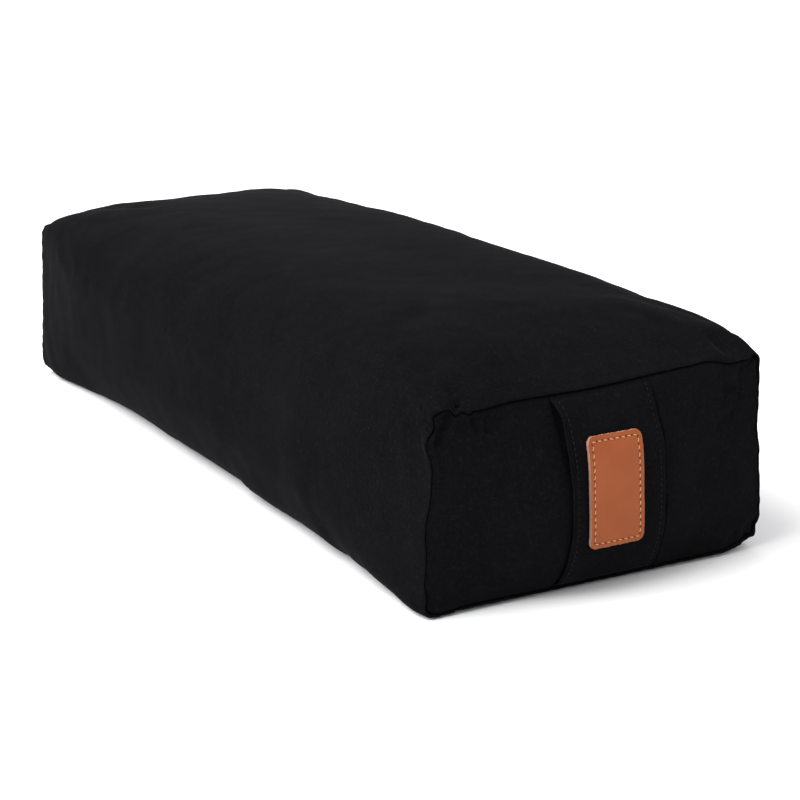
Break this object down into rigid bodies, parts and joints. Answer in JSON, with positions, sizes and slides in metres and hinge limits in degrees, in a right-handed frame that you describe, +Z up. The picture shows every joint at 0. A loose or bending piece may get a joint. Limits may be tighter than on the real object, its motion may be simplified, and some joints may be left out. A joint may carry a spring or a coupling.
{
  "type": "yoga bolster",
  "caption": "Rectangular hull-filled yoga bolster in black cotton, crowned on top, with a carrying band and a bare leather patch on one end.",
  "frame": {"origin": "middle of the flat face that the bolster rests on", "axes": "+X along the bolster towards the end with the carrying band, +Y across it, +Z up from the resting face"},
  "size_m": [0.6618, 0.256, 0.1529],
  "materials": {
    "wrap_cotton": "black plain-weave cotton, matt, with a faint bluish sheen at a low angle",
    "panel_cotton": "black plain-weave cotton, matt",
    "band_cotton": "black plain-weave cotton, folded double and top-stitched",
    "patch_leather": "tan smooth leather with paler cut edges and light stitching"
  },
  "bodies": {
    "root": {"filled_cover": "wrap_cotton", "end_panel_band": "panel_cotton", "end_panel_plain": "panel_cotton", "carrying_band": "band_cotton", "leather_patch": "patch_leather"}
  },
  "joints": []
}
